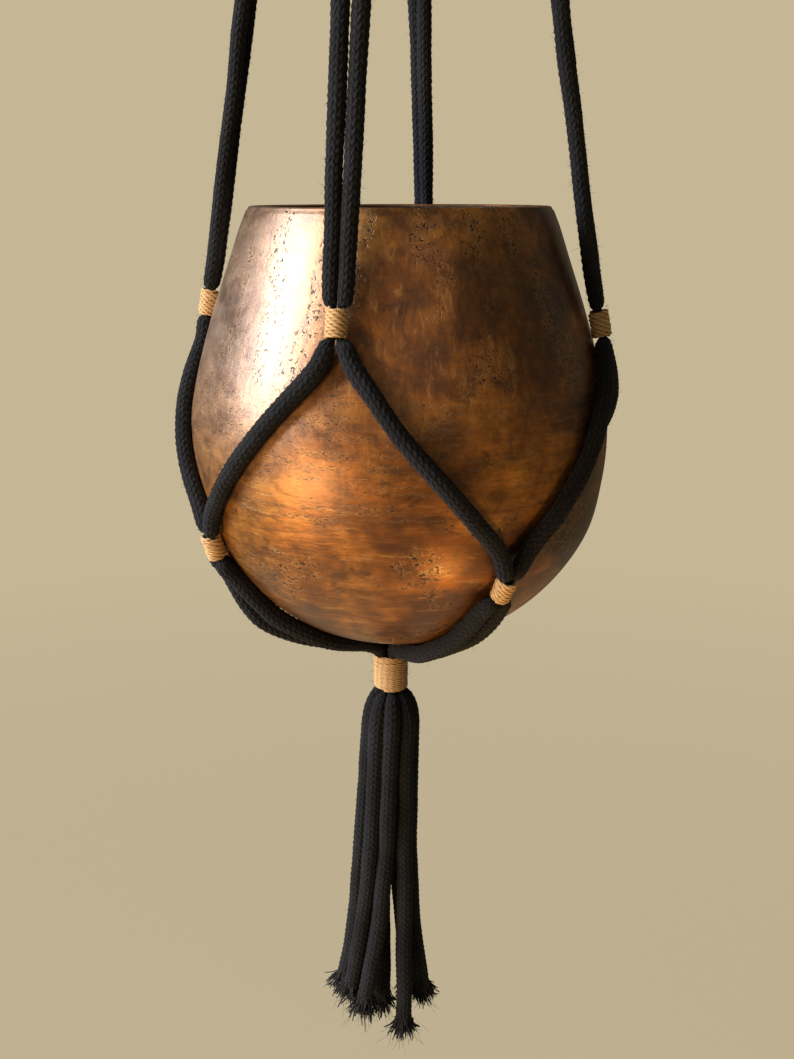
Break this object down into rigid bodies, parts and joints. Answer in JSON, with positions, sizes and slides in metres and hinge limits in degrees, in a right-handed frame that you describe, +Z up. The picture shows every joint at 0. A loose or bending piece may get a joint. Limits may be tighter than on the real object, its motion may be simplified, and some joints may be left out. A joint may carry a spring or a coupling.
{
  "type": "hanging planter",
  "caption": "Round-bellied gourd pot hung in a net of folded black cotton cords, bound with twine whippings, with a frayed tassel below and a wooden ring above.",
  "frame": {"origin": "the point on the inside of the ring's top where a hook bears", "axes": "+Z up, +X to the right as seen from the front, -Y towards the viewer in front"},
  "size_m": [0.1636, 0.1641, 0.8331],
  "materials": {
    "cord_cotton": "matt black braided cotton cord with a fine chevron braid and loose fibres",
    "twine": "tan twisted twine, tightly wound",
    "pot_shell": "gourd shell burnished to a copper-bronze sheen, mottled, streaked and finely pitted",
    "ring_wood": "plain turned beech, lightly oiled"
  },
  "bodies": {
    "ring": {"wooden_ring": "ring_wood"},
    "sling": {"cord_left": "cord_cotton", "cord_middle_left": "cord_cotton", "cord_middle_right": "cord_cotton", "cord_right": "cord_cotton", "gathering_wrap": "twine", "upper_wrap_front": "twine", "upper_wrap_right": "twine", "upper_wrap_back": "twine", "upper_wrap_left": "twine", "lower_wrap_front_right": "twine", "lower_wrap_back_right": "twine", "lower_wrap_back_left": "twine", "lower_wrap_front_left": "twine", "tassel_wrap": "twine"},
    "pot": {"pot": "pot_shell"},
    "strand_1": {"tassel_strand_1": "cord_cotton"},
    "strand_2": {"tassel_strand_2": "cord_cotton"},
    "strand_3": {"tassel_strand_3": "cord_cotton"},
    "strand_4": {"tassel_strand_4": "cord_cotton"},
    "strand_5": {"tassel_strand_5": "cord_cotton"},
    "strand_6": {"tassel_strand_6": "cord_cotton"},
    "strand_7": {"tassel_strand_7": "cord_cotton"},
    "strand_8": {"tassel_strand_8": "cord_cotton"}
  },
  "joints": [
    {"name": "planter_swing", "type": "hinge", "parent": "ring", "child": "sling", "pos_m": [0, 0, -0.0755], "axis": [1, 0, 0], "range_deg": [-20, 20]},
    {"name": "pot_turn", "type": "hinge", "parent": "sling", "child": "pot", "pos_m": [0, 0, -0.545], "axis": [0, 0, 1], "continuous": true},
    {"name": "strand_1_swing", "type": "hinge", "parent": "sling", "child": "strand_1", "pos_m": [-0.00612, -0.00341, -0.6515], "axis": [-0.7934, 0.6088, 0], "range_deg": [0, 25]},
    {"name": "strand_2_swing", "type": "hinge", "parent": "sling", "child": "strand_2", "pos_m": [-0.00312, -0.00428, -0.6515], "axis": [-0.996, -0.0889, 0], "range_deg": [0, 25]},
    {"name": "strand_3_swing", "type": "hinge", "parent": "sling", "child": "strand_3", "pos_m": [-0.0002, -0.00276, -0.6515], "axis": [-0.6414, -0.7672, 0], "range_deg": [0, 25]},
    {"name": "strand_4_swing", "type": "hinge", "parent": "sling", "child": "strand_4", "pos_m": [0.00073, 0.00078, -0.6515], "axis": [0.1822, -0.9833, 0], "range_deg": [0, 25]},
    {"name": "strand_5_swing", "type": "hinge", "parent": "sling", "child": "strand_5", "pos_m": [-0.00106, 0.00354, -0.6515], "axis": [0.8241, -0.5664, 0], "range_deg": [0, 25]},
    {"name": "strand_6_swing", "type": "hinge", "parent": "sling", "child": "strand_6", "pos_m": [-0.00421, 0.00424, -0.6515], "axis": [0.9863, 0.165, 0], "range_deg": [0, 25]},
    {"name": "strand_7_swing", "type": "hinge", "parent": "sling", "child": "strand_7", "pos_m": [-0.007, 0.0025, -0.6515], "axis": [0.5807, 0.8141, 0], "range_deg": [0, 25]},
    {"name": "strand_8_swing", "type": "hinge", "parent": "sling", "child": "strand_8", "pos_m": [-0.00776, -0.00056, -0.6515], "axis": [-0.1305, 0.9914, 0], "range_deg": [0, 25]}
  ]
}
